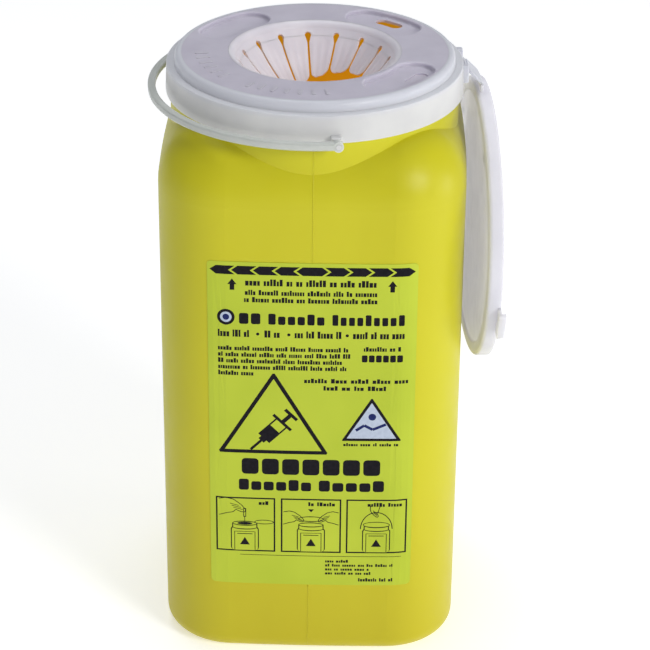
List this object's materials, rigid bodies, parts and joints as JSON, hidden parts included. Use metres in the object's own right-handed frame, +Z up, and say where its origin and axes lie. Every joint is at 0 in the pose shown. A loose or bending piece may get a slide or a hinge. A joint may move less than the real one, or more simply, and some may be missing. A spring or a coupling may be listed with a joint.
{
  "type": "sharps container",
  "caption": "Square upright sharps bottle with a petal funnel collar, a hinged snap lid hanging open at the side and a half-ring carry handle.",
  "frame": {"origin": "centre of the flat base, on the surface the bottle stands on", "axes": "+Z up through the neck, -Y towards the labelled front, +X towards the lid's hinge"},
  "size_m": [0.1202, 0.1106, 0.205],
  "materials": {
    "bottle_yellow": "satin blow-moulded HDPE",
    "collar_natural": "translucent natural polypropylene, satin",
    "petal_natural": "translucent natural polypropylene, thin and satin",
    "lid_natural": "translucent natural polypropylene, satin",
    "handle_natural": "translucent natural polypropylene, satin",
    "label_stock": "printed self-adhesive film, semi-gloss"
  },
  "bodies": {
    "root": {"bottle": "bottle_yellow", "front_label": "label_stock", "collar_skirt": "collar_natural", "collar_deck": "collar_natural", "deck_marks": "collar_natural", "funnel_ring": "collar_natural", "hinge_mount": "collar_natural", "handle_pivot_front": "collar_natural", "handle_pivot_rear": "collar_natural"},
    "strap": {"hinge_strap": "lid_natural"},
    "lid": {"lid_cover": "lid_natural", "lid_lock_prong": "lid_natural", "lid_stud": "lid_natural", "lid_thumb_tab": "lid_natural"},
    "handle": {"carry_handle": "handle_natural"},
    "petal_01": {"petal_01": "petal_natural"},
    "petal_02": {"petal_02": "petal_natural"},
    "petal_03": {"petal_03": "petal_natural"},
    "petal_04": {"petal_04": "petal_natural"},
    "petal_05": {"petal_05": "petal_natural"},
    "petal_06": {"petal_06": "petal_natural"},
    "petal_07": {"petal_07": "petal_natural"},
    "petal_08": {"petal_08": "petal_natural"},
    "petal_09": {"petal_09": "petal_natural"},
    "petal_10": {"petal_10": "petal_natural"},
    "petal_11": {"petal_11": "petal_natural"},
    "petal_12": {"petal_12": "petal_natural"},
    "petal_13": {"petal_13": "petal_natural"},
    "petal_14": {"petal_14": "petal_natural"},
    "petal_15": {"petal_15": "petal_natural"},
    "petal_16": {"petal_16": "petal_natural"}
  },
  "joints": [
    {"name": "strap_fold", "type": "hinge", "parent": "root", "child": "strap", "pos_m": [0.05052, 0.00531, 0.1983], "axis": [0.1045, -0.9945, 0], "range_deg": [0, 135]},
    {"name": "lid_fold", "type": "hinge", "parent": "strap", "child": "lid", "pos_m": [0.05502, 0.00578, 0.19378], "axis": [0.1045, -0.9945, 0], "range_deg": [0, 135]},
    {"name": "handle_swing", "type": "hinge", "parent": "root", "child": "handle", "pos_m": [0, 0, 0.1932], "axis": [-0.1606, 0.987, 0], "range_deg": [0, 150]},
    {"name": "petal_01_bend", "type": "hinge", "parent": "root", "child": "petal_01", "pos_m": [0.02374, 0.00787, 0.20003], "axis": [0.3148, -0.9492, 0], "range_deg": [0, 40], "stiffness_Nm_per_rad": 0.015},
    {"name": "petal_02_bend", "type": "hinge", "parent": "root", "child": "petal_02", "pos_m": [0.01892, 0.01636, 0.20003], "axis": [0.6541, -0.7564, 0], "range_deg": [0, 40], "stiffness_Nm_per_rad": 0.015},
    {"name": "petal_03_bend", "type": "hinge", "parent": "root", "child": "petal_03", "pos_m": [0.01122, 0.02235, 0.20003], "axis": [0.8938, -0.4485, 0], "range_deg": [0, 40], "stiffness_Nm_per_rad": 0.015},
    {"name": "petal_04_bend", "type": "hinge", "parent": "root", "child": "petal_04", "pos_m": [0.00181, 0.02494, 0.20003], "axis": [0.9974, -0.0724, 0], "range_deg": [0, 40], "stiffness_Nm_per_rad": 0.015},
    {"name": "petal_05_bend", "type": "hinge", "parent": "root", "child": "petal_05", "pos_m": [-0.00787, 0.02374, 0.20003], "axis": [0.9492, 0.3148, 0], "range_deg": [0, 40], "stiffness_Nm_per_rad": 0.015},
    {"name": "petal_06_bend", "type": "hinge", "parent": "root", "child": "petal_06", "pos_m": [-0.01636, 0.01892, 0.20003], "axis": [0.7564, 0.6541, 0], "range_deg": [0, 40], "stiffness_Nm_per_rad": 0.015},
    {"name": "petal_07_bend", "type": "hinge", "parent": "root", "child": "petal_07", "pos_m": [-0.02235, 0.01122, 0.20003], "axis": [0.4485, 0.8938, 0], "range_deg": [0, 40], "stiffness_Nm_per_rad": 0.015},
    {"name": "petal_08_bend", "type": "hinge", "parent": "root", "child": "petal_08", "pos_m": [-0.02494, 0.00181, 0.20003], "axis": [0.0724, 0.9974, 0], "range_deg": [0, 40], "stiffness_Nm_per_rad": 0.015},
    {"name": "petal_09_bend", "type": "hinge", "parent": "root", "child": "petal_09", "pos_m": [-0.02374, -0.00787, 0.20003], "axis": [-0.3148, 0.9492, 0], "range_deg": [0, 40], "stiffness_Nm_per_rad": 0.015},
    {"name": "petal_10_bend", "type": "hinge", "parent": "root", "child": "petal_10", "pos_m": [-0.01892, -0.01636, 0.20003], "axis": [-0.6541, 0.7564, 0], "range_deg": [0, 40], "stiffness_Nm_per_rad": 0.015},
    {"name": "petal_11_bend", "type": "hinge", "parent": "root", "child": "petal_11", "pos_m": [-0.01122, -0.02235, 0.20003], "axis": [-0.8938, 0.4485, 0], "range_deg": [0, 40], "stiffness_Nm_per_rad": 0.015},
    {"name": "petal_12_bend", "type": "hinge", "parent": "root", "child": "petal_12", "pos_m": [-0.00181, -0.02494, 0.20003], "axis": [-0.9974, 0.0724, 0], "range_deg": [0, 40], "stiffness_Nm_per_rad": 0.015},
    {"name": "petal_13_bend", "type": "hinge", "parent": "root", "child": "petal_13", "pos_m": [0.00787, -0.02374, 0.20003], "axis": [-0.9492, -0.3148, 0], "range_deg": [0, 40], "stiffness_Nm_per_rad": 0.015},
    {"name": "petal_14_bend", "type": "hinge", "parent": "root", "child": "petal_14", "pos_m": [0.01636, -0.01892, 0.20003], "axis": [-0.7564, -0.6541, 0], "range_deg": [0, 40], "stiffness_Nm_per_rad": 0.015},
    {"name": "petal_15_bend", "type": "hinge", "parent": "root", "child": "petal_15", "pos_m": [0.02235, -0.01122, 0.20003], "axis": [-0.4485, -0.8938, 0], "range_deg": [0, 40], "stiffness_Nm_per_rad": 0.015},
    {"name": "petal_16_bend", "type": "hinge", "parent": "root", "child": "petal_16", "pos_m": [0.02494, -0.00181, 0.20003], "axis": [-0.0724, -0.9974, 0], "range_deg": [0, 40], "stiffness_Nm_per_rad": 0.015}
  ],
  "couplings": [
    {"joint": "lid_fold", "follows": "strap_fold", "ratio": 1}
  ]
}
